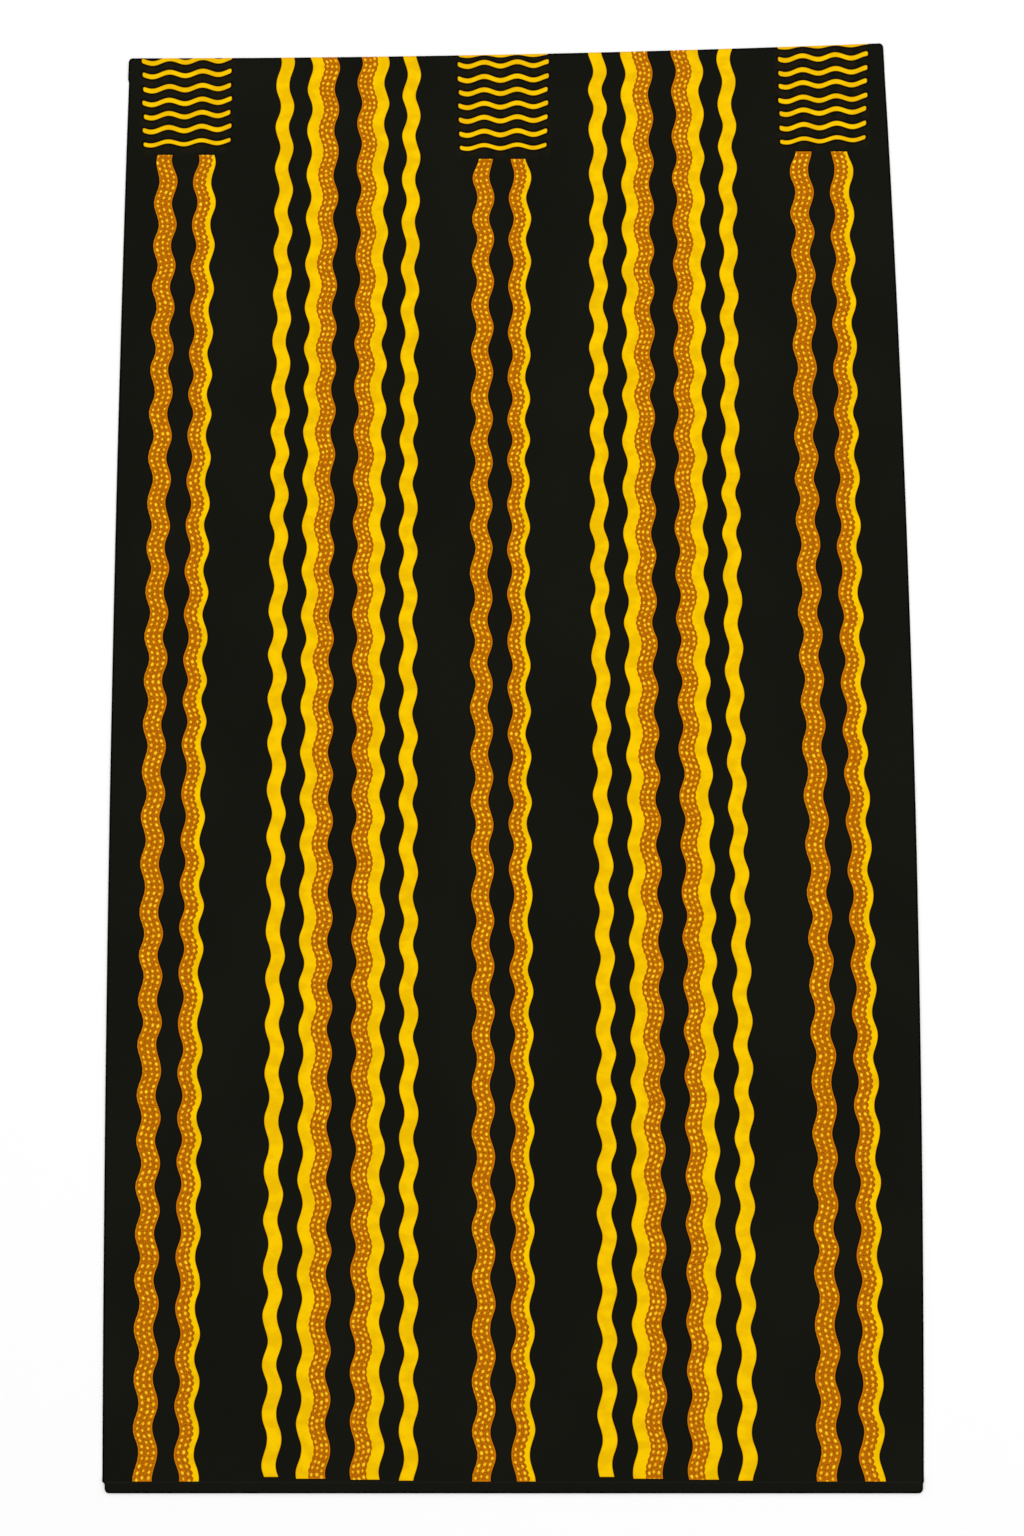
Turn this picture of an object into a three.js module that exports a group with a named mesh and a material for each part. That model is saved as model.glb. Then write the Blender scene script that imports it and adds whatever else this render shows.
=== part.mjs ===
// Wax print cloth: one cotton panel lying flat with its face up.
// Millimetres, +Z up, X across the printed stripes, Y along them from the foot to the head.

import * as THREE from 'three';

// Thickness of the panel, of its two doubled ends, and the height of its soft unevenness.
const CLOTH = 1.3;
const DOUBLED = 1.9;
const UNEVEN = 0.22;

// Spacing of the unevenness, across and along the panel.
const SWELL_ACROSS = 540;
const SWELL_ALONG = 760;

// Length from the foot to the head at the middle of the width.
const LENGTH = 1168;

// The head runs off square: it climbs to the right, and a little more so past the middle.
const HEAD_CLIMB = 6.8;
const HEAD_BOW = 3.3;

// Depth of the stitched hem at the foot and of the turned edge at the head.
const HEM = 7.6;
const HEAD_TURN = 18;

// How far the hem is drawn in at its two ends, and the slope that leads onto a doubled end.
const HEM_INSET_LEFT = 1.9;
const HEM_INSET_RIGHT = 0.7;
const SLOPE = 0.8;

// Radius of the four corners, and the steps from an end of the panel that draw their rounds.
const CORNER = 3.4;
const CORNER_STEPS = [0, 0.08, 0.3, 0.62, 1];

// Each long edge bows outwards: where it is at the foot and where it is widest, and the height of that.
const LEFT_EDGE = { foot: -314.6, widest: -323.3, height: 800 };
const RIGHT_EDGE = { foot: 316.5, widest: 323.6, height: 520 };
const FOOT_WIDTH = RIGHT_EDGE.foot - LEFT_EDGE.foot;

// How far the turned head stands out at its left end.
const HEAD_FLARE_LEFT = 0.7;

// Cells of the panel between the two doubled ends, and from side to side.
const ROWS_ALONG = 26;
const COLUMNS = 20;

// Where a long edge lies at a height above the foot, on its parabola.
function edgeAt(y, edge) {
  return edge.widest + (edge.foot - edge.widest) * (1 - y / edge.height) ** 2;
}

// How far the round of a corner draws the edge in, at a distance from that end of the panel.
function cornerInset(distance) {
  if (distance >= CORNER) return 0;
  return CORNER - Math.sqrt(CORNER ** 2 - (CORNER - distance) ** 2);
}

// The two ends of a row of the panel.
function rowEnds(y) {
  const inset = cornerInset(Math.min(y, LENGTH - y));
  const hem = y <= HEM ? 1 : 0;
  const head = y >= LENGTH - HEAD_TURN ? 1 : 0;
  return {
    left: edgeAt(y, LEFT_EDGE) + hem * HEM_INSET_LEFT - head * HEAD_FLARE_LEFT + inset,
    right: edgeAt(y, RIGHT_EDGE) - hem * HEM_INSET_RIGHT - inset,
  };
}

// Thickness of a row, which is doubled in the hem and in the turned head.
function thicknessAt(y) {
  return y <= HEM || y >= LENGTH - HEAD_TURN ? DOUBLED : CLOTH;
}

// Soft unevenness of the face, nothing at the doubled ends.
function unevenAt(across, y) {
  const inner = Math.sin((Math.PI * y) / LENGTH) ** 0.5;
  const swell = Math.sin((2 * Math.PI * across) / SWELL_ACROSS + 0.7) * Math.cos((2 * Math.PI * y) / SWELL_ALONG);
  return UNEVEN * inner * swell;
}

// Heights of the rows: the round foot, the hem's slope, the open panel, the head's slope, the round head.
function rowHeights() {
  const foot = CORNER_STEPS.map((step) => step * CORNER);
  const head = CORNER_STEPS.map((step) => LENGTH - step * CORNER).reverse();
  const open = [];
  const start = HEM + SLOPE;
  const end = LENGTH - HEAD_TURN - SLOPE;
  for (let k = 0; k <= ROWS_ALONG; k += 1) {
    open.push(start + ((end - start) * k) / ROWS_ALONG);
  }
  return [...foot, HEM, ...open, LENGTH - HEAD_TURN, ...head];
}

// The panel starts as a box cut into rows and columns, whose points then move to their places.
function clothGeometry() {
  const heights = rowHeights();
  const rows = heights.length - 1;
  const geometry = new THREE.BoxGeometry(1, 1, 1, COLUMNS, rows, 1);
  const points = geometry.attributes.position;
  for (let i = 0; i < points.count; i += 1) {
    const y = heights[Math.round((points.getY(i) + 0.5) * rows)];
    const ends = rowEnds(y);
    const x = THREE.MathUtils.lerp(ends.left, ends.right, points.getX(i) + 0.5);
    const reach = (2 * x) / FOOT_WIDTH;
    const climb = HEAD_CLIMB * reach + HEAD_BOW * reach ** 2;
    const z = points.getZ(i) > 0 ? thicknessAt(y) + unevenAt(x, y) : 0;
    points.setXYZ(i, x, y * (1 + climb / LENGTH), z);
  }
  return geometry;
}

const cloth = new THREE.Mesh(
  clothGeometry(),
  new THREE.MeshStandardMaterial({ color: 0x17190f, roughness: 0.85, metalness: 0 }),
);
cloth.name = 'cloth';

// The origin is under the middle of the panel, on the surface that it lies on.
const middle = new THREE.Box3().setFromObject(cloth).getCenter(new THREE.Vector3());
cloth.position.set(-middle.x, -middle.y, 0);

const part = new THREE.Group();
part.add(cloth);

export default part;
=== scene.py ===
"""A panel of wax print cotton that lies flat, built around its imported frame.

Properties, objects and the stage are in metres. The outline, the section and the print are laid out in
millimetres across and up the cloth, and scaled by MM.
"""

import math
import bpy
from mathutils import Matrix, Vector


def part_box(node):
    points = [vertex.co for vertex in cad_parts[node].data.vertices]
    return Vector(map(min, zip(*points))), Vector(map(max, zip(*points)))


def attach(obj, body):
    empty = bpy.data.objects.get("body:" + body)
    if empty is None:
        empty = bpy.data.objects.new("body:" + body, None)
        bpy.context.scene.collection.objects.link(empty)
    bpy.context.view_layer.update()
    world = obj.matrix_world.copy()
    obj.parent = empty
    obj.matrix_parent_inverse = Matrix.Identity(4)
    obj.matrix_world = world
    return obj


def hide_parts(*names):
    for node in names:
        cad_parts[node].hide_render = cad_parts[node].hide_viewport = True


bl_info = {
    "name": "Wax Print Cloth",
    "version": (1, 0, 0),
    "blender": (4, 5, 0),
    "location": "View3D > Sidebar > Cloth",
    "description": "Builds a flat panel of wax print cotton with its hem, stitches and stripes",
    "category": "Add Mesh",
}

import bmesh
import bpy
import numpy as np
from mathutils import Matrix, Vector

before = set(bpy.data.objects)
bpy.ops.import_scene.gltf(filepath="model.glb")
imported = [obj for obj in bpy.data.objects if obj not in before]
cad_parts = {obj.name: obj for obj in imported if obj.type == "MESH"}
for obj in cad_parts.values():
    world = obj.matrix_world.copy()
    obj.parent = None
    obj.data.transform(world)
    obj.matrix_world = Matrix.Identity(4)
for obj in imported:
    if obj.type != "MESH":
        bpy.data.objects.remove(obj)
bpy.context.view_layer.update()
CLOTH_LOW, CLOTH_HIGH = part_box("cloth")

MM = 0.001

# Outline of the panel, as in its solid, in millimetres.
LENGTH = 1168
HEAD_CLIMB = 6.8
HEAD_BOW = 3.3
HEM_INSET_LEFT = 1.9
HEM_INSET_RIGHT = 0.7
CORNER = 3.4
CORNER_STEPS = (0.08, 0.3, 0.62, 1)

# Each long edge bows outwards on a parabola: where it is at the foot and where it is widest, and the
# height of that.
LEFT_EDGE = {"foot": -314.6, "widest": -323.3, "height": 800}
RIGHT_EDGE = {"foot": 316.5, "widest": 323.6, "height": 520}
FOOT_WIDTH = RIGHT_EDGE["foot"] - LEFT_EDGE["foot"]

# How far the turned head stands out at its left end, and the length below it over which it gets there.
HEAD_FLARE_LEFT = 0.7
FLARE_EASE = 4

# The hem's ends stop being drawn in over this stretch around its inner edge.
HEM_EASE = (-1.5, 0.1)

# Height of the lowest layer off the surface, and how far from the foot the raw edge in the hem lies.
FLOOR_GAP = 0.04
RAW_EDGE = 1.7

# The slope off the hem starts and ends this far past it. The slope onto the turned head is this long, and
# the turned edge stops a little short of it.
HEM_SLOPE = (0.3, 5.2)
HEAD_SLOPE = 4.6
TURN_SHORT = 0.4

# How far the layers underneath are drawn in from the sides of the one on top.
TUCK = 0.25

# Rows of the mesh in each part of the section, in the section's order. Both layers of the hem under its
# face have HEM_ROWS.
HEM_ROWS = 4
INNER_FOLD_ROWS = 5
FOOT_FOLD_ROWS = 8
HEM_FACE_ROWS = 3
HEM_SLOPE_ROWS = 7
HEAD_SLOPE_ROWS = 6
HEAD_FACE_ROWS = 5
HEAD_FOLD_ROWS = 6
TURN_ROWS = 6

# Where the closer columns along each side stand, as shares of the width.
CLOSE_COLUMNS = (0, 0.0018, 0.0045)

# Lengths of the open cloth's soft unevenness, and of a smaller ruffle on it that comes and goes.
SWELL_ACROSS = 540
SWELL_START = 0.7
SWELL_UP = 760
RUFFLE = 0.35
RUFFLE_ACROSS = 190
RUFFLE_UP = 310
RUFFLE_FADE = 230

# The unevenness sets in over the first stretch, past the hem, and ends over the second, below the head.
SWELL_PAST_HEM = (4, 60)
SWELL_BELOW_HEAD = (30, 90)

# The origin is the solid's own middle, which is a little off the zero of the measures across.
ORIGIN_X = (LEFT_EDGE["widest"] + RIGHT_EDGE["widest"]) / 2
ORIGIN_Y = (CLOTH_HIGH.y - CLOTH_LOW.y) / 2 / MM

# The print runs over a square this wide in the cloth's UV map, whose middle foot is at PRINT_FOOT.
PRINT_SPAN = 1250
PRINT_FOOT = (0.5, 0.03)

# The print has two groups of stripes, which take turns across the cloth. Each stripe has its distance
# from the group's middle, its width, the width of its dotted orange part (below zero where that part is
# on the left), and the heights where it starts and where its wave has its first crest.
STRIPE_COLUMNS = ("aside", "width", "orange", "start", "crest")
DOTTED_PAIR = (
    (-16, 14.7, 14.7, 8.7, 29),
    (16, 15.1, -10.5, 8.7, 47),
)
YELLOW_FOUR = (
    (-54, 11.2, 0, 12, 39),
    (-21.2, 22.8, 13, 10.7, 33),
    (21.2, 22.8, -13, 10, 36),
    (54, 11.2, 0, 9.3, 28),
)

# The groups from left to right: where the middle of each is half way up, how far it is off that at the
# foot and at the head, how large the print is there, and the length of its waves.
GROUP_COLUMNS = ("stripes", "middle", "foot_shift", "head_shift", "scale", "wave_length")
GROUPS = (
    (DOTTED_PAIR, -271.8, 5.8, -0.3, 1, 36.7),
    (YELLOW_FOUR, -136.2, 4.5, -1.2, 0.98, 37.4),
    (DOTTED_PAIR, -8.8, 3.3, 0.3, 0.95, 37.5),
    (YELLOW_FOUR, 126.8, 1.7, -1.8, 1, 37.2),
    (DOTTED_PAIR, 260.4, 1.5, -3.8, 1.04, 37.7),
)

# The stripes' wave, and how far its crests slip up and down as if drawn by hand.
WAVE = 2.1
SLIP = 7
SLIP_LENGTH = 130

# How unsteady the stripes' edges are, and the lengths of that across and up.
TREMBLE = 0.6
TREMBLE_ACROSS = 40
TREMBLE_UP = 11

# A slow drift to the side that grows from left to right.
DRIFT = 0.65
DRIFT_GROWTH = 1 / 410
DRIFT_START = 150
DRIFT_LENGTH = 780

# The yellow stripes run on past the head, and the dotted ones stop this far below the blocks.
OVER_HEAD = 100
BELOW_BLOCK = 11

# The dotted stripes narrow to each side by this much, over this length, below the blocks.
TAPER = 1.1
TAPER_LENGTH = 20

# The lattice of dots on the orange parts, and the bumps that it gives their seam with the yellow.
DOT_PITCH = 4.75
DOT_ROW = 4.6
DOT_MARGIN = 0.65
DOT_RADIUS = 0.88
DOT_STRETCH = 1.22
DOT_EDGE = 0.4
BUMP = 0.7
NARROW_BUMP = 1.5
NARROW = 12
BUMP_MIDDLE = 0.65

# How the dots stray: a row slips along by up to half of ROW_SLIP dots. A dot moves aside and along by up
# to half of DOT_STRAY_ASIDE and DOT_STRAY_ALONG, and its radius changes by up to half of DOT_STRAY_SIZE.
ROW_SLIP = 1.3
ROW_SLIP_LENGTH = 45
DOT_STRAY_ASIDE = 0.8
DOT_STRAY_ALONG = 1.1
DOT_STRAY_SIZE = 0.45

# Numbers that set the noise of one row, stripe or block apart from that of the next.
ROW_SEED = 2.3
STRIPE_SHIFT = 0.37
BLOCK_SEED = 4.2

# The dark net between the dots: its swells in each millimetre, and the distances from a dot's rim over
# which its specks set in.
NET_FINENESS = 1.15
NET_START = (0.3, 1.1)

# The blocks of level wavy lines above the dotted stripes, one in each repeat of the print.
REPEAT = 266
BLOCK_X = -7.2
BLOCK_BOW = 1.5
BLOCK_HALF_WIDTH = 36.1
BLOCK_SPREAD = 0.33
BLOCK_LEAN = 0.25
BLOCK_FOOT = 1086.9
BLOCK_CLIMB = 1.5
BLOCK_SAG = 4.9
BLOCK_TILT = 0.016
OUTER_TILT = 0.021
LINE_PITCH = 12.1
LINE_WIDTH = 4.15
LINE_WAVE = 1.8
LINE_WAVE_LENGTH = 27.7
LINE_CREST = 11.6
LINE_CORNER = 1.5

# The lowest line of a block is a little flatter and thinner. Each line is off its height by up to half
# of LINE_STRAY, and longer or shorter by up to half of END_STRAY at each end.
LOW_FLATNESS = 0.17
LOW_THINNING = 0.3
LINE_STRAY = 0.9
END_STRAY = 1.3

# The ground is browner inside a block: not at all at the first distance inside its sides or above its
# foot, and fully at the second.
BROWN_ASIDE = (-6, 2)
BROWN_FOOT = (-14, -2)

# Lengths across and up of the ground's clouds, of its browning and of the yellow's mottling.
CLOUD = (90, 120)
BROWNING = (7, 18)
MOTTLE = (15, 11)

# The stretch of a noise over which a second dye takes over from the first.
CLOUD_RANGE = (0.3, 0.75)
BROWN_RANGE = (0.2, 0.75)
MOTTLE_RANGE = (0.33, 0.68)
RUST_RANGE = (0.25, 0.72)
SHADE_RANGE = (0.42, 0.68)
WORN_RANGE = (0.35, 0.6)

# The distances into a shape over which one colour gives way to the next, below zero outside the shape:
# mostly one dye to the next, and at the cloth's edges also to painted shade.
SHAPE_BLEND = (-0.15, 0.2)
SEAM_BLEND = (-0.2, 0.2)
SEAM_RIM = (-1.7, -0.5)
RUST_RIM = (0.3, 1.3)
# The amber rim at the yellow's edges is dye, and within the cloth's edges it is partly painted shade of
# their rounding.
AMBER_RIM_AND_EDGE_SHADE = (0.1, 0.9)
STRIPE_HALO = (-1.4, -0.2)
LINE_HALO = (-2.8, -0.3)
# Painted shade: within this distance of the cloth's edges the ground turns darker, standing in for the
# shade of the edges' rounding.
EDGE_SHADE = (0.9, 1.7)

# How much of the second dye shows at most; near the cloth's edges the amber's share is partly painted
# shade.
HALO_SHARE = 0.8
SEAM_RIM_SHARE = 0.65
AMBER_AND_EDGE_SHADE_SHARE = 0.35
SHADE_SHARE = 0.75
DULL_SHARE = 0.8

# The lines above this height over a block's foot are flatter and lower, and the head cuts them off.
TOP_LINE = 77.5
TOP_FLATNESS = 0.45
TOP_DROP = 2.7
TOP_DROP_STEP = 1.25

# Distance between the yarns of the plain weave, and how uneven they are.
YARN_PITCH = 0.31
YARN_UNEVEN = 1.2
YARN_SWELLS = 1.3

# The stitch line lies STITCH_INSET inside the hem's inner edge, starts STITCH_START from the left side and
# leaves STITCH_MARGINS free in all. The stitches rise by STITCH_RISE, and STITCH_SHARE of their pitch is
# their half length.
STITCH_INSET = 0.4
STITCH_START = 2.4
STITCH_MARGINS = 4
STITCH_RISE = 0.02
STITCH_SHARE = 0.43
STITCH_HALF_WIDTH = 0.21
STITCH_HALF_HEIGHT = 0.15

# How far the stitches wander off their line, and their slant with its spread, in radians. The steps are
# the radians from one stitch to the next.
WANDER = 0.06
WANDER_STEP = 1.7
SLANT = 0.10
SLANT_SPREAD = 0.04
SLANT_STEP = 2.3

# The thread's dye, its worn dye, the distances from the middle over which it gets worn, its specks in
# each metre, and the length of its twist. Distances are in metres.
THREAD = (0.0085, 0.0085, 0.0065)
WORN_THREAD = (0.019, 0.018, 0.013)
WORN_FROM = 0.27
WORN_FULL = 0.315
WORN_SPECKS = 90
TWIST = 0.0009

# The stage, in metres: the floor lies just below the cloth, under an even room light and a softbox.
FLOOR_DROP = 0.0003
FLOOR_COLOUR = (0.93, 0.93, 0.93)
ROOM_LIGHT = 0.93
SOFTBOX_WIDTH = 2.6
SOFTBOX_DEPTH = 2.0
SOFTBOX_POWER = 16
SOFTBOX_PLACE = (0.35, 0.9, 2.5)


class ClothSizes(bpy.types.PropertyGroup):
    """Sizes of the panel, its doubled ends and its stitches."""

    thickness: bpy.props.FloatProperty(
        name="Thickness",
        description="Thickness of one layer of the cotton",
        default=0.00034,
        min=0.0001,
        precision=5,
        unit="LENGTH",
    )
    layer_gap: bpy.props.FloatProperty(
        name="Layer gap",
        description="Air between two layers of a doubled end",
        default=0.00009,
        precision=5,
        unit="LENGTH",
    )
    hem: bpy.props.FloatProperty(
        name="Hem",
        description="Depth of the stitched hem at the foot, which is turned twice",
        default=0.0084,
        unit="LENGTH",
    )
    head_turn: bpy.props.FloatProperty(
        name="Head turn",
        description="Depth of the edge that is turned back once at the head",
        default=0.018,
        unit="LENGTH",
    )
    swell: bpy.props.FloatProperty(
        name="Swell",
        description="How far the open cloth lifts off the surface where it lies uneven",
        default=0.0005,
        precision=5,
        unit="LENGTH",
    )
    columns: bpy.props.IntProperty(
        name="Columns",
        description="Cells of the mesh from side to side",
        default=84,
        min=8,
    )
    rows: bpy.props.IntProperty(
        name="Rows",
        description="Cells of the mesh along the open cloth",
        default=150,
        min=8,
    )
    stitch: bpy.props.FloatProperty(
        name="Stitch",
        description="Length of one stitch of the hem, with the gap after it",
        default=0.0031,
        unit="LENGTH",
    )


class PrintColours(bpy.types.PropertyGroup):
    """Dyes of the print. The outline's black is also painted shade along the cloth's edges."""

    ground: bpy.props.FloatVectorProperty(
        name="Ground",
        description="Black ground of the cloth",
        default=(0.0068, 0.0070, 0.0048),
        size=3,
        subtype="COLOR",
    )
    # Both the print's dark outline round its shapes and painted shade along the cloth's edges.
    outline: bpy.props.FloatVectorProperty(
        name="Outline",
        description="Deeper black where the ground meets a printed shape or the cloth's edge",
        default=(0.0012, 0.0010, 0.0006),
        size=3,
        subtype="COLOR",
    )
    worn_ground: bpy.props.FloatVectorProperty(
        name="Worn ground",
        description="Slightly lighter black of the ground's soft patches",
        default=(0.0080, 0.0082, 0.0057),
        size=3,
        subtype="COLOR",
    )
    brown: bpy.props.FloatVectorProperty(
        name="Brown",
        description="Faint brown of the ground between the lines of a block",
        default=(0.0128, 0.0100, 0.0048),
        size=3,
        subtype="COLOR",
    )
    yellow: bpy.props.FloatVectorProperty(
        name="Yellow",
        description="Bright yellow of the stripes and lines",
        default=(0.90, 0.55, 0.0003),
        size=3,
        subtype="COLOR",
    )
    gold: bpy.props.FloatVectorProperty(
        name="Gold",
        description="Deeper yellow of the mottling",
        default=(0.80, 0.465, 0.0003),
        size=3,
        subtype="COLOR",
    )
    # Also the amber of the yellow's rims, which near the cloth's edges is partly painted shade.
    orange: bpy.props.FloatVectorProperty(
        name="Orange",
        description="Orange rim of the dotted parts",
        default=(0.59, 0.175, 0.0008),
        size=3,
        subtype="COLOR",
    )
    rust: bpy.props.FloatVectorProperty(
        name="Rust",
        description="Darker orange between the dots",
        default=(0.40, 0.110, 0.0008),
        size=3,
        subtype="COLOR",
    )
    shade: bpy.props.FloatVectorProperty(
        name="Shade",
        description="Dark specks between the dots",
        default=(0.20, 0.062, 0.002),
        size=3,
        subtype="COLOR",
    )
    rim: bpy.props.FloatVectorProperty(
        name="Rim",
        description="Red brown of the bumps where a dotted part meets the yellow",
        default=(0.33, 0.072, 0.0006),
        size=3,
        subtype="COLOR",
    )
    dot: bpy.props.FloatVectorProperty(
        name="Dot",
        description="Yellow of the dots",
        default=(0.97, 0.66, 0.020),
        size=3,
        subtype="COLOR",
    )
    dull_dot: bpy.props.FloatVectorProperty(
        name="Dull dot",
        description="Amber of the dullest dots",
        default=(0.84, 0.40, 0.006),
        size=3,
        subtype="COLOR",
    )


class StageSettings(bpy.types.PropertyGroup):
    """Floor, camera and light."""

    lens: bpy.props.FloatProperty(
        name="Lens",
        description="Focal length of the camera, in millimetres on a frame 36 mm high",
        default=50,
    )
    distance: bpy.props.FloatProperty(
        name="Distance",
        description="Distance from the camera to the cloth, straight ahead",
        default=1.7147,
        unit="LENGTH",
    )
    tilt: bpy.props.FloatProperty(
        name="Tilt",
        description="How far the camera looks away from straight down",
        default=math.radians(7.72),
        unit="ROTATION",
    )
    aim: bpy.props.FloatProperty(
        name="Aim",
        description="Height of the point that the camera looks at, along Y",
        default=-0.0268,
        unit="LENGTH",
    )
    floor_size: bpy.props.FloatProperty(
        name="Floor size",
        description="Width of the pale floor",
        default=12,
        unit="LENGTH",
    )


class Value:
    """A number in a material, on which arithmetic adds Math nodes."""

    def __init__(self, nodes, socket):
        self.nodes = nodes
        self.socket = socket

    def _math(self, operation, *values):
        return self.nodes.make("ShaderNodeMath", {"operation": operation}, dict(enumerate(values)))

    def __add__(self, other):
        return self._math("ADD", self, other)

    def __radd__(self, other):
        return self._math("ADD", other, self)

    def __sub__(self, other):
        return self._math("SUBTRACT", self, other)

    def __rsub__(self, other):
        return self._math("SUBTRACT", other, self)

    def __mul__(self, other):
        return self._math("MULTIPLY", self, other)

    def __rmul__(self, other):
        return self._math("MULTIPLY", other, self)

    def __truediv__(self, other):
        return self._math("DIVIDE", self, other)

    def __abs__(self):
        return self._math("ABSOLUTE", self)

    def __gt__(self, other):
        return self._math("GREATER_THAN", self, other)

    def __lt__(self, other):
        return self._math("LESS_THAN", self, other)

    def floor(self):
        return self._math("FLOOR", self)

    def round(self):
        return self._math("ROUND", self)

    def sign(self):
        return self._math("SIGN", self)

    def root(self):
        return self._math("SQRT", self)

    def sine(self):
        return self._math("SINE", self)

    def cosine(self):
        return self._math("COSINE", self)

    def least(self, other):
        return self._math("MINIMUM", self, other)

    def most(self, other):
        return self._math("MAXIMUM", self, other)

    def between(self, low, high):
        """Rises smoothly from 0 at low to 1 at high."""
        inputs = {0: self, 1: low, 2: high, 3: 0, 4: 1}
        return self.nodes.make("ShaderNodeMapRange", {"interpolation_type": "SMOOTHSTEP"}, inputs)


class Nodes:
    """Makes the nodes of one material."""

    def __init__(self, name):
        self.material = bpy.data.materials.new(name)
        self.material.use_nodes = True
        self.tree = self.material.node_tree
        self.tree.nodes.clear()

    def make(self, kind, settings=None, inputs=None, output=0):
        """Adds a node: its settings first, and then the values or links of its sockets."""
        node = self.tree.nodes.new(kind)
        for name, value in (settings or {}).items():
            if name == "stops":
                self._set_stops(node.color_ramp, value)
            else:
                setattr(node, name, value)
        for name, value in (inputs or {}).items():
            if isinstance(value, Value):
                self.tree.links.new(value.socket, node.inputs[name])
            else:
                node.inputs[name].default_value = value
        return Value(self, node.outputs[output]) if node.outputs else None

    def output_of(self, value, name):
        """Another output of the node that a value comes from."""
        return Value(self, value.socket.node.outputs[name])

    def _set_stops(self, ramp, stops):
        ramp.interpolation = "CONSTANT"
        while len(ramp.elements) < len(stops):
            ramp.elements.new(1)
        for element, (position, colour) in zip(ramp.elements, stops):
            element.position = position
            element.color = colour

    def split(self, vector):
        """The three parts of a vector or colour."""
        first = self.make("ShaderNodeSeparateXYZ", inputs={0: vector})
        return first, self.output_of(first, 1), self.output_of(first, 2)

    def join(self, x, y, z=0):
        return self.make("ShaderNodeCombineXYZ", inputs={0: x, 1: y, 2: z})

    def mix(self, factor, first, second):
        """Mixes two colours. Sockets 6 and 7 of the Mix node are its colours, and output 2 is theirs."""
        settings = {"data_type": "RGBA", "clamp_factor": True}
        return self.make("ShaderNodeMix", settings, {0: factor, 6: first, 7: second}, 2)

    def noise(self, x, y, detail=0.0):
        """Soft noise over two coordinates, about one swell to each unit."""
        inputs = {"Vector": self.join(x, y), "Scale": 1.0, "Detail": detail}
        return self.make("ShaderNodeTexNoise", {"noise_dimensions": "2D"}, inputs)

    def chance(self, place):
        """Three even random numbers for each cell."""
        return self.split(self.make("ShaderNodeTexWhiteNoise", {"noise_dimensions": "3D"}, {0: place}, 1))

    def finish(self, shader):
        self.make("ShaderNodeOutputMaterial", inputs={0: shader})
        return self.material


def rgba(colour):
    return (*colour, 1)


def edge_at(y, edge):
    """Where a long edge lies at a height above the foot."""
    return edge["widest"] + (edge["foot"] - edge["widest"]) * (1 - y / edge["height"]) ** 2


def smooth_rise(value, low, high):
    """Rises smoothly from 0 at low to 1 at high."""
    t = min(1, max(0, (value - low) / (high - low)))
    return t * t * (3 - 2 * t)


def corner_inset(distance):
    """How far the round of a corner draws the edge in, at a distance from that end of the panel."""
    if distance >= CORNER:
        return 0
    return CORNER - math.sqrt(CORNER**2 - (CORNER - distance) ** 2)


def row_ends(y, hem, turn):
    """The left and right end of a row of the panel."""
    inset = corner_inset(max(0, min(y, LENGTH - y)))
    drawn_in = 1 - smooth_rise(y, hem + HEM_EASE[0], hem + HEM_EASE[1])
    flare = smooth_rise(y, LENGTH - turn - FLARE_EASE, LENGTH - turn)
    left = edge_at(y, LEFT_EDGE) + drawn_in * HEM_INSET_LEFT - flare * HEAD_FLARE_LEFT + inset
    right = edge_at(y, RIGHT_EDGE) - drawn_in * HEM_INSET_RIGHT - inset
    return left, right


def climb_at(x):
    """How much higher the head runs at x than in the middle."""
    reach = 2 * x / FOOT_WIDTH
    return HEAD_CLIMB * reach + HEAD_BOW * reach**2


def swell_at(x, y):
    """Soft unevenness of the open cloth, from 0 to 1."""
    across = math.sin(math.tau * x / SWELL_ACROSS + SWELL_START)
    along = math.cos(math.tau * y / SWELL_UP)
    ruffle = RUFFLE * math.sin(math.tau * (x / RUFFLE_ACROSS + y / RUFFLE_UP))
    ruffle *= math.sin(math.tau * y / RUFFLE_FADE)
    return 0.5 + (across * along + ruffle) / (2 + 2 * RUFFLE)


def straight(start, end, steps):
    """Points after start along a line, as y and z."""
    (y0, z0), (y1, z1) = start, end
    return [(y0 + (y1 - y0) * k / steps, z0 + (z1 - z0) * k / steps) for k in range(1, steps + 1)]


def fold(y, low, high, outward, steps, upward):
    """Points of a half-round fold between two layers, after its first point."""
    radius = (high - low) / 2
    points = []
    for k in range(1, steps + 1):
        angle = math.pi * k / steps
        z = -math.cos(angle) if upward else math.cos(angle)
        points.append((y + outward * radius * math.sin(angle), (low + high) / 2 + radius * z))
    return points


def slope(start, end, first_z, last_z, steps):
    """Points of a smooth slope from one height of the cloth to another, after its first point."""
    points = []
    for k in range(1, steps + 1):
        y = start + (end - start) * k / steps
        points.append((y, first_z + (last_z - first_z) * smooth_rise(y, start, end)))
    return points


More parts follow.
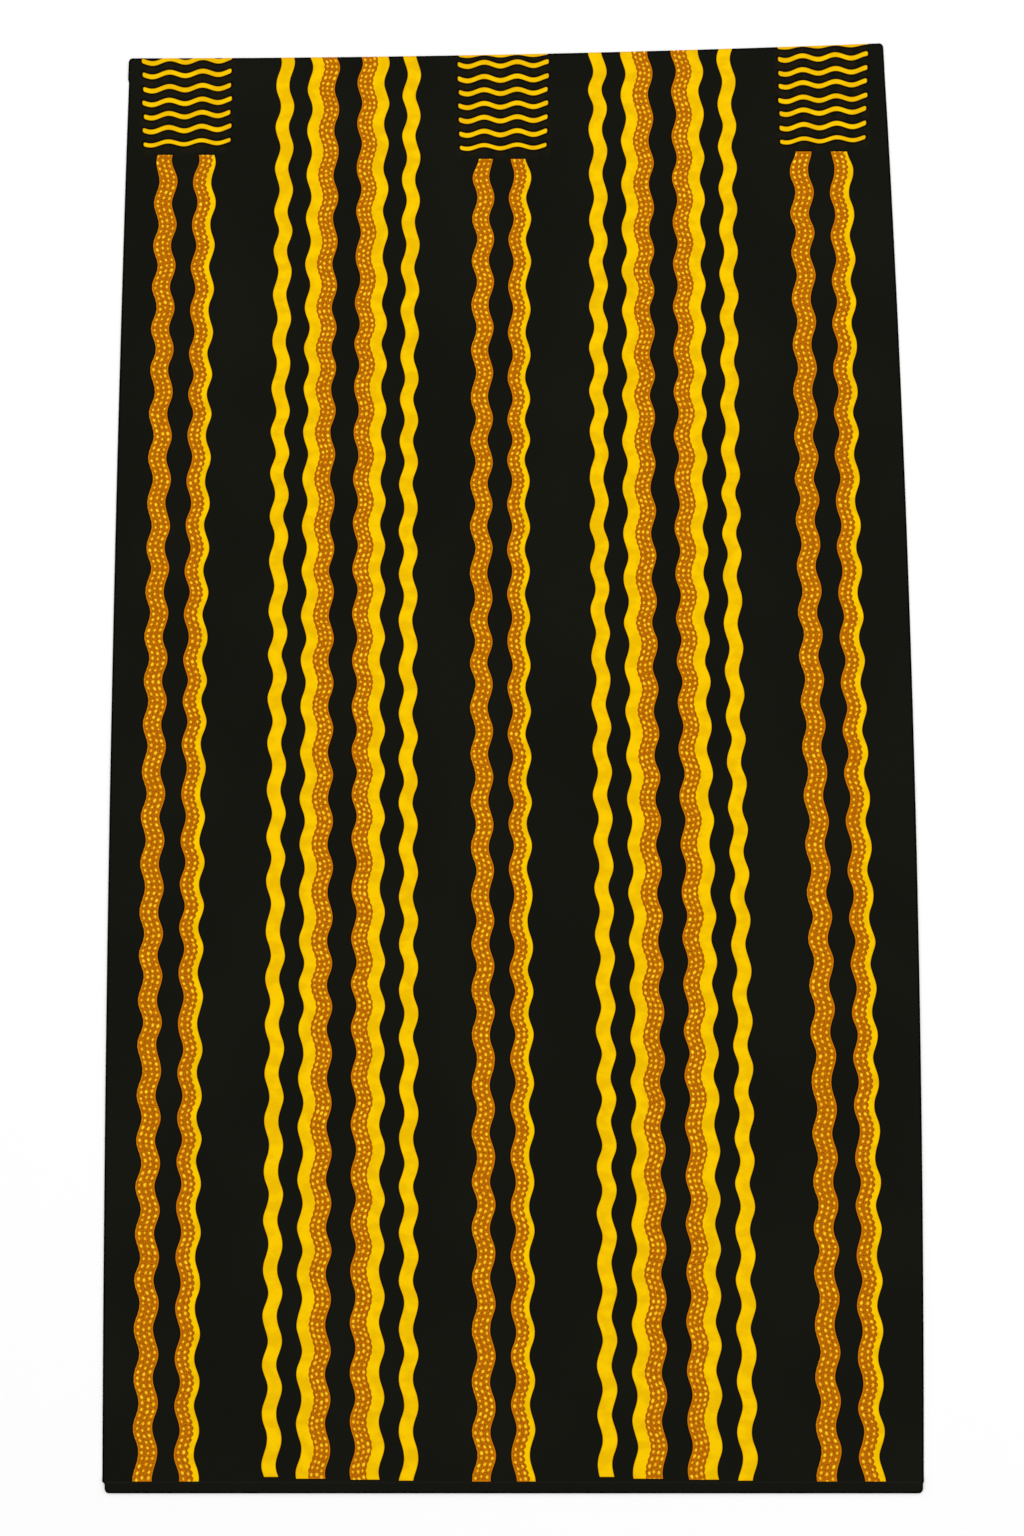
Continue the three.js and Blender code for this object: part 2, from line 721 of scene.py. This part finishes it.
def section(sizes):
    """The cloth's section along its length, in millimetres: y and z of each row, from the raw edge in
    the hem, round the foot, over the face and round the head to the end of the turned edge."""
    hem = sizes.hem / MM
    turn = sizes.head_turn / MM
    pitch = (sizes.thickness + sizes.layer_gap) / MM
    low = sizes.thickness / MM / 2 + FLOOR_GAP
    middle = low + pitch
    high = low + 2 * pitch
    foot = pitch
    inner = hem - pitch / 2
    head = LENGTH - pitch / 2
    hem_slope_start = hem + HEM_SLOPE[0]
    head_slope_end = LENGTH - turn
    head_slope_start = head_slope_end - HEAD_SLOPE
    corner = [step * CORNER for step in CORNER_STEPS]
    points = [(RAW_EDGE, middle)]
    points += straight(points[-1], (inner, middle), HEM_ROWS)
    points += fold(inner, low, middle, 1, INNER_FOLD_ROWS, False)
    points += straight(points[-1], (foot, low), HEM_ROWS)
    points += fold(foot, low, high, -1, FOOT_FOLD_ROWS, True)
    points += [(inset, high) for inset in corner if inset > foot]
    points += straight(points[-1], (hem_slope_start, high), HEM_FACE_ROWS)
    points += slope(hem_slope_start, hem + HEM_SLOPE[1], high, low, HEM_SLOPE_ROWS)
    points += straight(points[-1], (head_slope_start, low), sizes.rows)
    points += slope(head_slope_start, head_slope_end, low, middle, HEAD_SLOPE_ROWS)
    points += straight(points[-1], (LENGTH - CORNER, middle), HEAD_FACE_ROWS)
    points += [(LENGTH - inset, middle) for inset in reversed(corner) if pitch / 2 < inset < CORNER]
    points += [(head, middle)]
    points += fold(head, low, middle, 1, HEAD_FOLD_ROWS, False)
    points += straight(points[-1], (head_slope_end + TURN_SHORT, low), TURN_ROWS)
    return points


def column_shares(count):
    """Where the columns stand from side to side, 0 to 1, with two closer ones along each edge."""
    margin = CLOSE_COLUMNS[-1]
    cells = count - 2 * (len(CLOSE_COLUMNS) - 1)
    inner = [margin + (1 - 2 * margin) * k / cells for k in range(1, cells)]
    return [*CLOSE_COLUMNS, *inner, *(1 - share for share in reversed(CLOSE_COLUMNS))]


def make_panel(sizes):
    """The sheet: a grid whose rows follow the section and whose ends follow the outline."""
    points = section(sizes)
    shares = column_shares(sizes.columns)
    hem = sizes.hem / MM
    turn = sizes.head_turn / MM
    edge_of_fold = 2 * sizes.thickness / MM
    steps = [math.dist(a, b) for a, b in zip(points, points[1:])]
    run = [0, *np.cumsum(steps)]
    rows_under = 2 * HEM_ROWS + INNER_FOLD_ROWS
    face_start = next(k for k, (y, z) in enumerate(points) if k > rows_under and y > edge_of_fold)
    flat_start = points[face_start][0] - run[face_start]
    top_z = max(z for y, z in points)
    first_on_top = face_start - FOOT_FOLD_ROWS / 2
    last_on_top = len(points) - TURN_ROWS - 2

    mesh = bmesh.new()
    bmesh.ops.create_grid(mesh, x_segments=len(shares) - 1, y_segments=len(points) - 1, size=1)
    across = mesh.verts.layers.float.new("across")
    up = mesh.verts.layers.float.new("up")
    edge = mesh.verts.layers.float.new("edge")
    for vertex in mesh.verts:
        row = round((vertex.co.y + 1) / 2 * (len(points) - 1))
        column = round((vertex.co.x + 1) / 2 * (len(shares) - 1))
        y, z = points[row]
        left, right = row_ends(y, hem, turn)
        tucked = 0 if first_on_top <= row <= last_on_top else TUCK
        x = left + tucked + (right - left - 2 * tucked) * shares[column]
        stretch = 1 + climb_at(x) / LENGTH
        open_cloth = smooth_rise(y - hem, *SWELL_PAST_HEM) * smooth_rise(LENGTH - y, *SWELL_BELOW_HEAD)
        lift = sizes.swell / MM * open_cloth * swell_at(x, y) * (1 if z < top_z else 0)
        vertex.co = Vector((x - ORIGIN_X, y * stretch - ORIGIN_Y, z + lift)) * MM
        vertex[across] = x
        vertex[up] = (run[row] + flat_start) * stretch
        vertex[edge] = min(x - left, right - x, y, LENGTH - y)
    uv = mesh.loops.layers.uv.new("print")
    for face in mesh.faces:
        for loop in face.loops:
            u = loop.vert[across] / PRINT_SPAN + PRINT_FOOT[0]
            v = loop.vert[up] / PRINT_SPAN + PRINT_FOOT[1]
            loop[uv].uv = (u, v)
    for name in ("across", "up"):
        mesh.verts.layers.float.remove(mesh.verts.layers.float[name])
    bmesh.ops.recalc_face_normals(mesh, faces=mesh.faces)
    return mesh


def new_object(name, mesh, material):
    """An object at the origin that holds a finished bmesh."""
    data = bpy.data.meshes.new(name)
    mesh.to_mesh(data)
    mesh.free()
    data.materials.append(material)
    data.shade_smooth()
    piece = bpy.data.objects.new(name, data)
    bpy.context.scene.collection.objects.link(piece)
    return piece


def block_foot(repeat):
    """Height of the lowest line of a block, which is 0 for the middle block and 1 for the right one."""
    return BLOCK_FOOT + repeat * (BLOCK_CLIMB + repeat * BLOCK_SAG)


def stripe_facts():
    """The stripes' numbers for the material, from left to right. The place is that of the middle half
    way up. The lean and the bow move it as the height goes from -1 at the foot to 1 at the head."""
    facts = []
    for group in (dict(zip(GROUP_COLUMNS, row)) for row in GROUPS):
        scale = group["scale"]
        lean = (group["head_shift"] - group["foot_shift"]) / 2
        bow = (group["head_shift"] + group["foot_shift"]) / 2
        for stripe in (dict(zip(STRIPE_COLUMNS, row)) for row in group["stripes"]):
            place = group["middle"] + stripe["aside"] * scale
            stop = LENGTH + OVER_HEAD
            if group["stripes"] is DOTTED_PAIR:
                stop = block_foot(round(place / REPEAT)) - BELOW_BLOCK
            sizes = (stripe["width"] * scale, stripe["orange"] * scale, stripe["start"], stop)
            facts.append((place, lean, bow, stripe["crest"], group["wave_length"], *sizes))
    return np.array(facts)


def look_up(nodes, across, facts):
    """The numbers of the stripe that a point lies nearest to, from stepped ramps across the cloth that
    hold three columns of the facts each, scaled to lie between 0 and 1."""
    half = max(-LEFT_EDGE["widest"], RIGHT_EDGE["widest"])
    place, lean, bow = facts[:, 0], facts[:, 1], facts[:, 2]
    left = place + np.minimum(bow - np.abs(lean), 0) - facts[:, 5] / 2
    right = place + np.maximum(bow + np.abs(lean), 0) + facts[:, 5] / 2
    starts = [0, *((right[:-1] + left[1:]) / 2 / (2 * half) + 0.5)]
    low = facts.min(0)
    span = np.maximum(facts.max(0) - low, 1e-6)
    shares = (facts - low) / span
    values = []
    for first in range(0, facts.shape[1], 3):
        stops = [(start, rgba(row[first : first + 3])) for start, row in zip(starts, shares)]
        ramp = nodes.make("ShaderNodeValToRGB", {"stops": stops}, {0: across / (2 * half) + 0.5})
        for k, part in enumerate(nodes.split(ramp)):
            values.append(part * float(span[first + k]) + float(low[first + k]))
    return values


def paint_dots(nodes, inward, rim_depth, lattice, up, orange, stripe, colours):
    """Colour of a dotted orange part: inward is the distance from its outer edge, rim_depth the distance
    from the nearest edge of the stripe, and the lattice counts the dots along the stripe."""
    rows = (orange / DOT_ROW).round()
    row_width = (orange - 2 * DOT_MARGIN) / rows
    row_place = (inward - DOT_MARGIN) / row_width
    row = row_place.floor()
    slip = nodes.noise(up / ROW_SLIP_LENGTH, row * ROW_SEED + stripe) - 0.5
    cell_place = lattice + slip * ROW_SLIP
    cell = cell_place.floor()
    chance = nodes.chance(nodes.join(row, cell, stripe))
    dx = (row_place - row - 0.5) * row_width - (chance[0] - 0.5) * DOT_STRAY_ASIDE
    dy = ((cell_place - cell - 0.5) * DOT_PITCH - (chance[1] - 0.5) * DOT_STRAY_ALONG) / DOT_STRETCH
    distance = (dx * dx + dy * dy).root() - (chance[2] - 0.5) * DOT_STRAY_SIZE
    on_rows = (row > -0.5) * (row < rows - 0.5)
    net = nodes.noise(inward * NET_FINENESS, up * NET_FINENESS + stripe, 1.0)
    edge = rim_depth.between(*RUST_RIM)
    base = nodes.mix(edge * net.between(*RUST_RANGE), rgba(colours.orange), rgba(colours.rust))
    away = distance.between(DOT_RADIUS + NET_START[0], DOT_RADIUS + NET_START[1]) * edge
    base = nodes.mix(away * net.between(*SHADE_RANGE) * SHADE_SHARE, base, rgba(colours.shade))
    tone = nodes.mix(chance[1] * DULL_SHARE, rgba(colours.dot), rgba(colours.dull_dot))
    dot = 1 - distance.between(DOT_RADIUS - DOT_EDGE, DOT_RADIUS + DOT_EDGE)
    return nodes.mix(dot * on_rows, base, tone)


def paint_yellow(nodes, across, up, depth, colours):
    """Yellow dye with its soft golden mottling, and an amber rim at its edges. Near the cloth's own edges
    that amber is partly faded dye and partly painted shade of the turned edges' rounding.
    """
    mottle = nodes.noise(across / MOTTLE[0], up / MOTTLE[1], 2.0)
    dye = nodes.mix(mottle.between(*MOTTLE_RANGE), rgba(colours.yellow), rgba(colours.gold))
    return nodes.mix((1 - depth.between(*AMBER_RIM_AND_EDGE_SHADE)) * AMBER_AND_EDGE_SHADE_SHARE, dye, rgba(colours.orange))


def paint_blocks(nodes, across, up):
    """Distance into the level wavy lines above the dotted stripes, and a mask of their blocks."""
    repeat = (across / REPEAT).round()
    x = across - repeat * REPEAT - BLOCK_X - BLOCK_BOW * repeat * repeat
    foot = block_foot(repeat) + (BLOCK_TILT + OUTER_TILT * abs(repeat)) * x
    top = up - foot > TOP_LINE
    low = up - foot < LINE_PITCH / 2
    swing = LINE_WAVE * (1 - TOP_FLATNESS * top) * (1 - LOW_FLATNESS * low)
    drop = (TOP_DROP - TOP_DROP_STEP * repeat) * top
    wave = swing * ((x - LINE_CREST) * (math.tau / LINE_WAVE_LENGTH)).cosine() - drop
    place = (up - foot - wave) / LINE_PITCH
    line = place.round().most(0)
    shift = nodes.chance(nodes.join(line, repeat, BLOCK_SEED))
    dy = abs((place - line) * LINE_PITCH + (shift[0] - 0.5) * LINE_STRAY)
    half = LINE_WIDTH / 2 - LOW_THINNING * (line < 0.5)
    half_width = BLOCK_HALF_WIDTH + BLOCK_SPREAD * line + (shift[1] - 0.5) * END_STRAY
    dx = (abs(x - BLOCK_LEAN * repeat * line) - half_width + LINE_CORNER).most(0)
    dy = (dy - half + LINE_CORNER).most(0)
    inside = LINE_CORNER - (dx * dx + dy * dy).root()
    block = (BLOCK_HALF_WIDTH - abs(x)).between(*BROWN_ASIDE) * (up - foot).between(*BROWN_FOOT)
    return inside, block


def weave(nodes, across, up):
    """Height of the plain weave, with uneven yarns."""
    yarn = math.tau / YARN_PITCH / 2
    uneven = nodes.noise(across * YARN_SWELLS, up * YARN_SWELLS)
    return (across * yarn).sine() * (up * yarn).sine() + uneven * YARN_UNEVEN


def cloth_material(colours):
    """Printed cotton: stripes, dots and blocks on a black ground, worked out from the print's sizes, with
    painted shade along the cloth's edges.
    """
    nodes = Nodes("wax_print")
    u, v = nodes.split(nodes.make("ShaderNodeUVMap", {"uv_map": "print"}))[:2]
    across = (u - PRINT_FOOT[0]) * PRINT_SPAN
    up = (v - PRINT_FOOT[1]) * PRINT_SPAN
    edge = nodes.make("ShaderNodeAttribute", {"attribute_name": "edge"}, output=2)

    values = look_up(nodes, across, stripe_facts())
    place, lean, bow, crest, wave_length, width, orange_part, start, stop = values
    height = up * (2 / LENGTH) - 1
    middle = place + height * (lean + height * bow)
    drift = ((up - DRIFT_START) * (math.tau / DRIFT_LENGTH)).sine() * (DRIFT + across * DRIFT_GROWTH)
    slip = (nodes.noise(place, up / SLIP_LENGTH, 1.0) - 0.5) * (2 * SLIP)
    wave = WAVE * ((up - crest + slip) * math.tau / wave_length).cosine()
    tremble = (nodes.noise(across / TREMBLE_ACROSS, up / TREMBLE_UP) - 0.5) * TREMBLE
    offset = across - middle - drift - wave - tremble
    half = width / 2 - TAPER * (1 - (stop - up).between(0, TAPER_LENGTH))
    into_stripe = (half - abs(offset)).least((up - start).least(stop - up))

    stripe = place.round()
    orange = abs(orange_part)
    inward = half - orange_part.sign() * offset
    is_dotted = orange > 1
    lattice = up / DOT_PITCH + stripe * STRIPE_SHIFT
    bump = BUMP + (NARROW_BUMP - BUMP) * (orange < NARROW)
    seam = orange + bump * (abs((lattice * math.pi).sine()) - BUMP_MIDDLE)
    past_seam = inward - seam
    two_toned = (width - orange > 1) * is_dotted

    line_inside, block = paint_blocks(nodes, across, up)
    cloud = nodes.noise(across / CLOUD[0], up / CLOUD[1], 1.0)
    ground = nodes.mix(cloud.between(*CLOUD_RANGE), rgba(colours.ground), rgba(colours.worn_ground))
    browning = nodes.noise(across / BROWNING[0], up / BROWNING[1]).between(*BROWN_RANGE)
    ground = nodes.mix(block * browning, ground, rgba(colours.brown))
    beside = into_stripe.between(*STRIPE_HALO).most(line_inside.between(*LINE_HALO))
    # The halo is the print's dark outline beside the stripes and lines, and painted shade within a little
    # of the cloth's edges.
    halo_and_edge_shade = (beside * HALO_SHARE).most(1 - edge.between(*EDGE_SHADE))
    ground = nodes.mix(halo_and_edge_shade, ground, rgba(colours.outline))

    # Depth runs to the nearest edge of a shape or of the cloth, so the amber rim is dye along the shapes
    # and partly painted shade along the cloth's edges.
    depth = into_stripe.most(line_inside).least(edge * 0.6)
    yellow = paint_yellow(nodes, across, up, depth, colours)
    dots = paint_dots(nodes, inward, into_stripe, lattice, up, orange, stripe, colours)
    rim = past_seam.between(*SEAM_RIM) * two_toned
    dots = nodes.mix(rim * SEAM_RIM_SHARE, dots, rgba(colours.rim))
    dotted = (1 - past_seam.between(*SEAM_BLEND)) * is_dotted
    printed = nodes.mix(dotted, yellow, dots)
    colour = nodes.mix(into_stripe.between(*SHAPE_BLEND), ground, printed)
    colour = nodes.mix(line_inside.between(*SHAPE_BLEND), colour, yellow)

    relief = {"Strength": 0.35, "Distance": 0.00006, "Height": weave(nodes, across, up)}
    settings = {
        "Base Color": colour,
        "Roughness": 0.78 + 0.12 * cloud,
        "Specular IOR Level": 0.01,
        "Normal": nodes.make("ShaderNodeBump", inputs=relief),
    }
    return nodes.finish(nodes.make("ShaderNodeBsdfPrincipled", inputs=settings))


def thread_material():
    """Black sewing thread, worn paler towards the two ends of the hem."""
    nodes = Nodes("hem_thread")
    x, y = nodes.split(nodes.make("ShaderNodeTexCoord", output=3))[:2]
    specks = nodes.noise(x * WORN_SPECKS, y * WORN_SPECKS).between(*WORN_RANGE)
    colour = nodes.mix(abs(x).between(WORN_FROM, WORN_FULL) * specks, rgba(THREAD), rgba(WORN_THREAD))
    twist = ((x + y * 2) * (math.tau / TWIST)).sine()
    bump = nodes.make("ShaderNodeBump", inputs={"Strength": 0.6, "Distance": 0.00005, "Height": twist})
    settings = {"Base Color": colour, "Roughness": 0.6, "Specular IOR Level": 0.15, "Normal": bump}
    return nodes.finish(nodes.make("ShaderNodeBsdfPrincipled", inputs=settings))


def plain_material(name, colour, roughness):
    """A plain matt finish for the floor."""
    nodes = Nodes(name)
    settings = {"Base Color": rgba(colour), "Roughness": roughness, "Specular IOR Level": 0.1}
    return nodes.finish(nodes.make("ShaderNodeBsdfPrincipled", inputs=settings))


class ClothPanel(bpy.types.Operator):
    """Makes the printed panel with its hem and turned head"""

    bl_idname = "cloth.panel"
    bl_label = "Panel"

    def execute(self, context):
        sizes = context.scene.cloth_sizes
        panel = new_object("panel", make_panel(sizes), cloth_material(context.scene.print_colours))
        layer = panel.modifiers.new("layer", "SOLIDIFY")
        layer.thickness = sizes.thickness
        layer.offset = 0
        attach(panel, "root")
        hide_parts("cloth")
        return {"FINISHED"}


class HemStitches(bpy.types.Operator):
    bl_idname = "cloth.stitches"
    bl_label = "Hem stitches"

    def execute(self, context):
        sizes = context.scene.cloth_sizes
        line = sizes.hem / MM - STITCH_INSET
        left, right = row_ends(line, sizes.hem / MM, sizes.head_turn / MM)
        pitch = sizes.stitch / MM
        top = (2.5 * sizes.thickness + 2 * sizes.layer_gap) / MM + STITCH_RISE
        count = int((right - left - STITCH_MARGINS) / pitch)
        half_sizes = (STITCH_SHARE * pitch * MM, STITCH_HALF_WIDTH * MM, STITCH_HALF_HEIGHT * MM, 1)
        mesh = bmesh.new()
        for k in range(count):
            x = left + STITCH_START + (k + 0.5) * pitch
            y = line * (1 + climb_at(x) / LENGTH) + WANDER * math.sin(k * WANDER_STEP)
            place = Vector((x - ORIGIN_X, y - ORIGIN_Y, top + sizes.thickness / MM / 2)) * MM
            slant = SLANT + SLANT_SPREAD * math.sin(k * SLANT_STEP)
            turn = Matrix.Rotation(slant, 4, "Z")
            bmesh.ops.create_uvsphere(
                mesh,
                u_segments=8,
                v_segments=6,
                radius=1,
                matrix=Matrix.Translation(place) @ turn @ Matrix.Diagonal(half_sizes),
            )
        stitches = new_object("hem_stitches", mesh, thread_material())
        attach(stitches, "root")
        return {"FINISHED"}


class ClothStage(bpy.types.Operator):
    """Makes the pale floor, the soft light and the camera"""

    bl_idname = "cloth.stage"
    bl_label = "Stage"

    def execute(self, context):
        stage = context.scene.stage_settings
        self.make_floor(stage)
        self.make_light(context)
        self.make_camera(context, stage)
        return {"FINISHED"}

    def make_floor(self, stage):
        mesh = bmesh.new()
        bmesh.ops.create_grid(mesh, x_segments=1, y_segments=1, size=stage.floor_size / 2)
        bmesh.ops.translate(mesh, verts=mesh.verts, vec=(0, 0, -FLOOR_DROP))
        new_object("floor", mesh, plain_material("pale_floor", FLOOR_COLOUR, 0.9))

    def make_light(self, context):
        world = bpy.data.worlds.new("soft_room")
        world.use_nodes = True
        background = world.node_tree.nodes["Background"]
        background.inputs["Color"].default_value = (1, 1, 1, 1)
        background.inputs["Strength"].default_value = ROOM_LIGHT
        context.scene.world = world
        data = bpy.data.lights.new("softbox", "AREA")
        data.shape = "RECTANGLE"
        data.size = SOFTBOX_WIDTH
        data.size_y = SOFTBOX_DEPTH
        data.energy = SOFTBOX_POWER
        softbox = bpy.data.objects.new("softbox", data)
        softbox.location = SOFTBOX_PLACE
        softbox.rotation_mode = "QUATERNION"
        softbox.rotation_quaternion = softbox.location.to_track_quat("Z", "Y")
        context.scene.collection.objects.link(softbox)

    def make_camera(self, context, stage):
        data = bpy.data.cameras.new("camera")
        data.lens = stage.lens
        data.sensor_width = 36
        camera = bpy.data.objects.new("camera", data)
        back = Vector((0, -math.sin(stage.tilt), math.cos(stage.tilt)))
        camera.location = Vector((0, stage.aim, 0)) + back * stage.distance
        camera.rotation_mode = "QUATERNION"
        camera.rotation_quaternion = back.to_track_quat("Z", "Y")
        context.scene.collection.objects.link(camera)
        context.scene.camera = camera
        context.scene.view_settings.view_transform = "Standard"


class ClothSidebar(bpy.types.Panel):
    """Lists the cloth's pieces and settings"""

    bl_idname = "VIEW3D_PT_wax_print_cloth"
    bl_label = "Wax Print Cloth"
    bl_space_type = "VIEW_3D"
    bl_region_type = "UI"
    bl_category = "Cloth"

    def draw(self, context):
        scene = context.scene
        column = self.layout.column()
        for operator in (ClothPanel, HemStitches, ClothStage):
            column.operator(operator.bl_idname)
        for group in (scene.cloth_sizes, scene.print_colours, scene.stage_settings):
            for name in group.__annotations__:
                column.prop(group, name)


CLASSES = (
    ClothSizes,
    PrintColours,
    StageSettings,
    ClothPanel,
    HemStitches,
    ClothStage,
    ClothSidebar,
)


def register():
    for cls in CLASSES:
        bpy.utils.register_class(cls)
    bpy.types.Scene.cloth_sizes = bpy.props.PointerProperty(type=ClothSizes)
    bpy.types.Scene.print_colours = bpy.props.PointerProperty(type=PrintColours)
    bpy.types.Scene.stage_settings = bpy.props.PointerProperty(type=StageSettings)


def unregister():
    del bpy.types.Scene.stage_settings
    del bpy.types.Scene.print_colours
    del bpy.types.Scene.cloth_sizes
    for cls in reversed(CLASSES):
        bpy.utils.unregister_class(cls)


def main():
    register()
    bpy.ops.cloth.stage()
    bpy.ops.cloth.panel()
    bpy.ops.cloth.stitches()


if __name__ == "__main__":
    main()
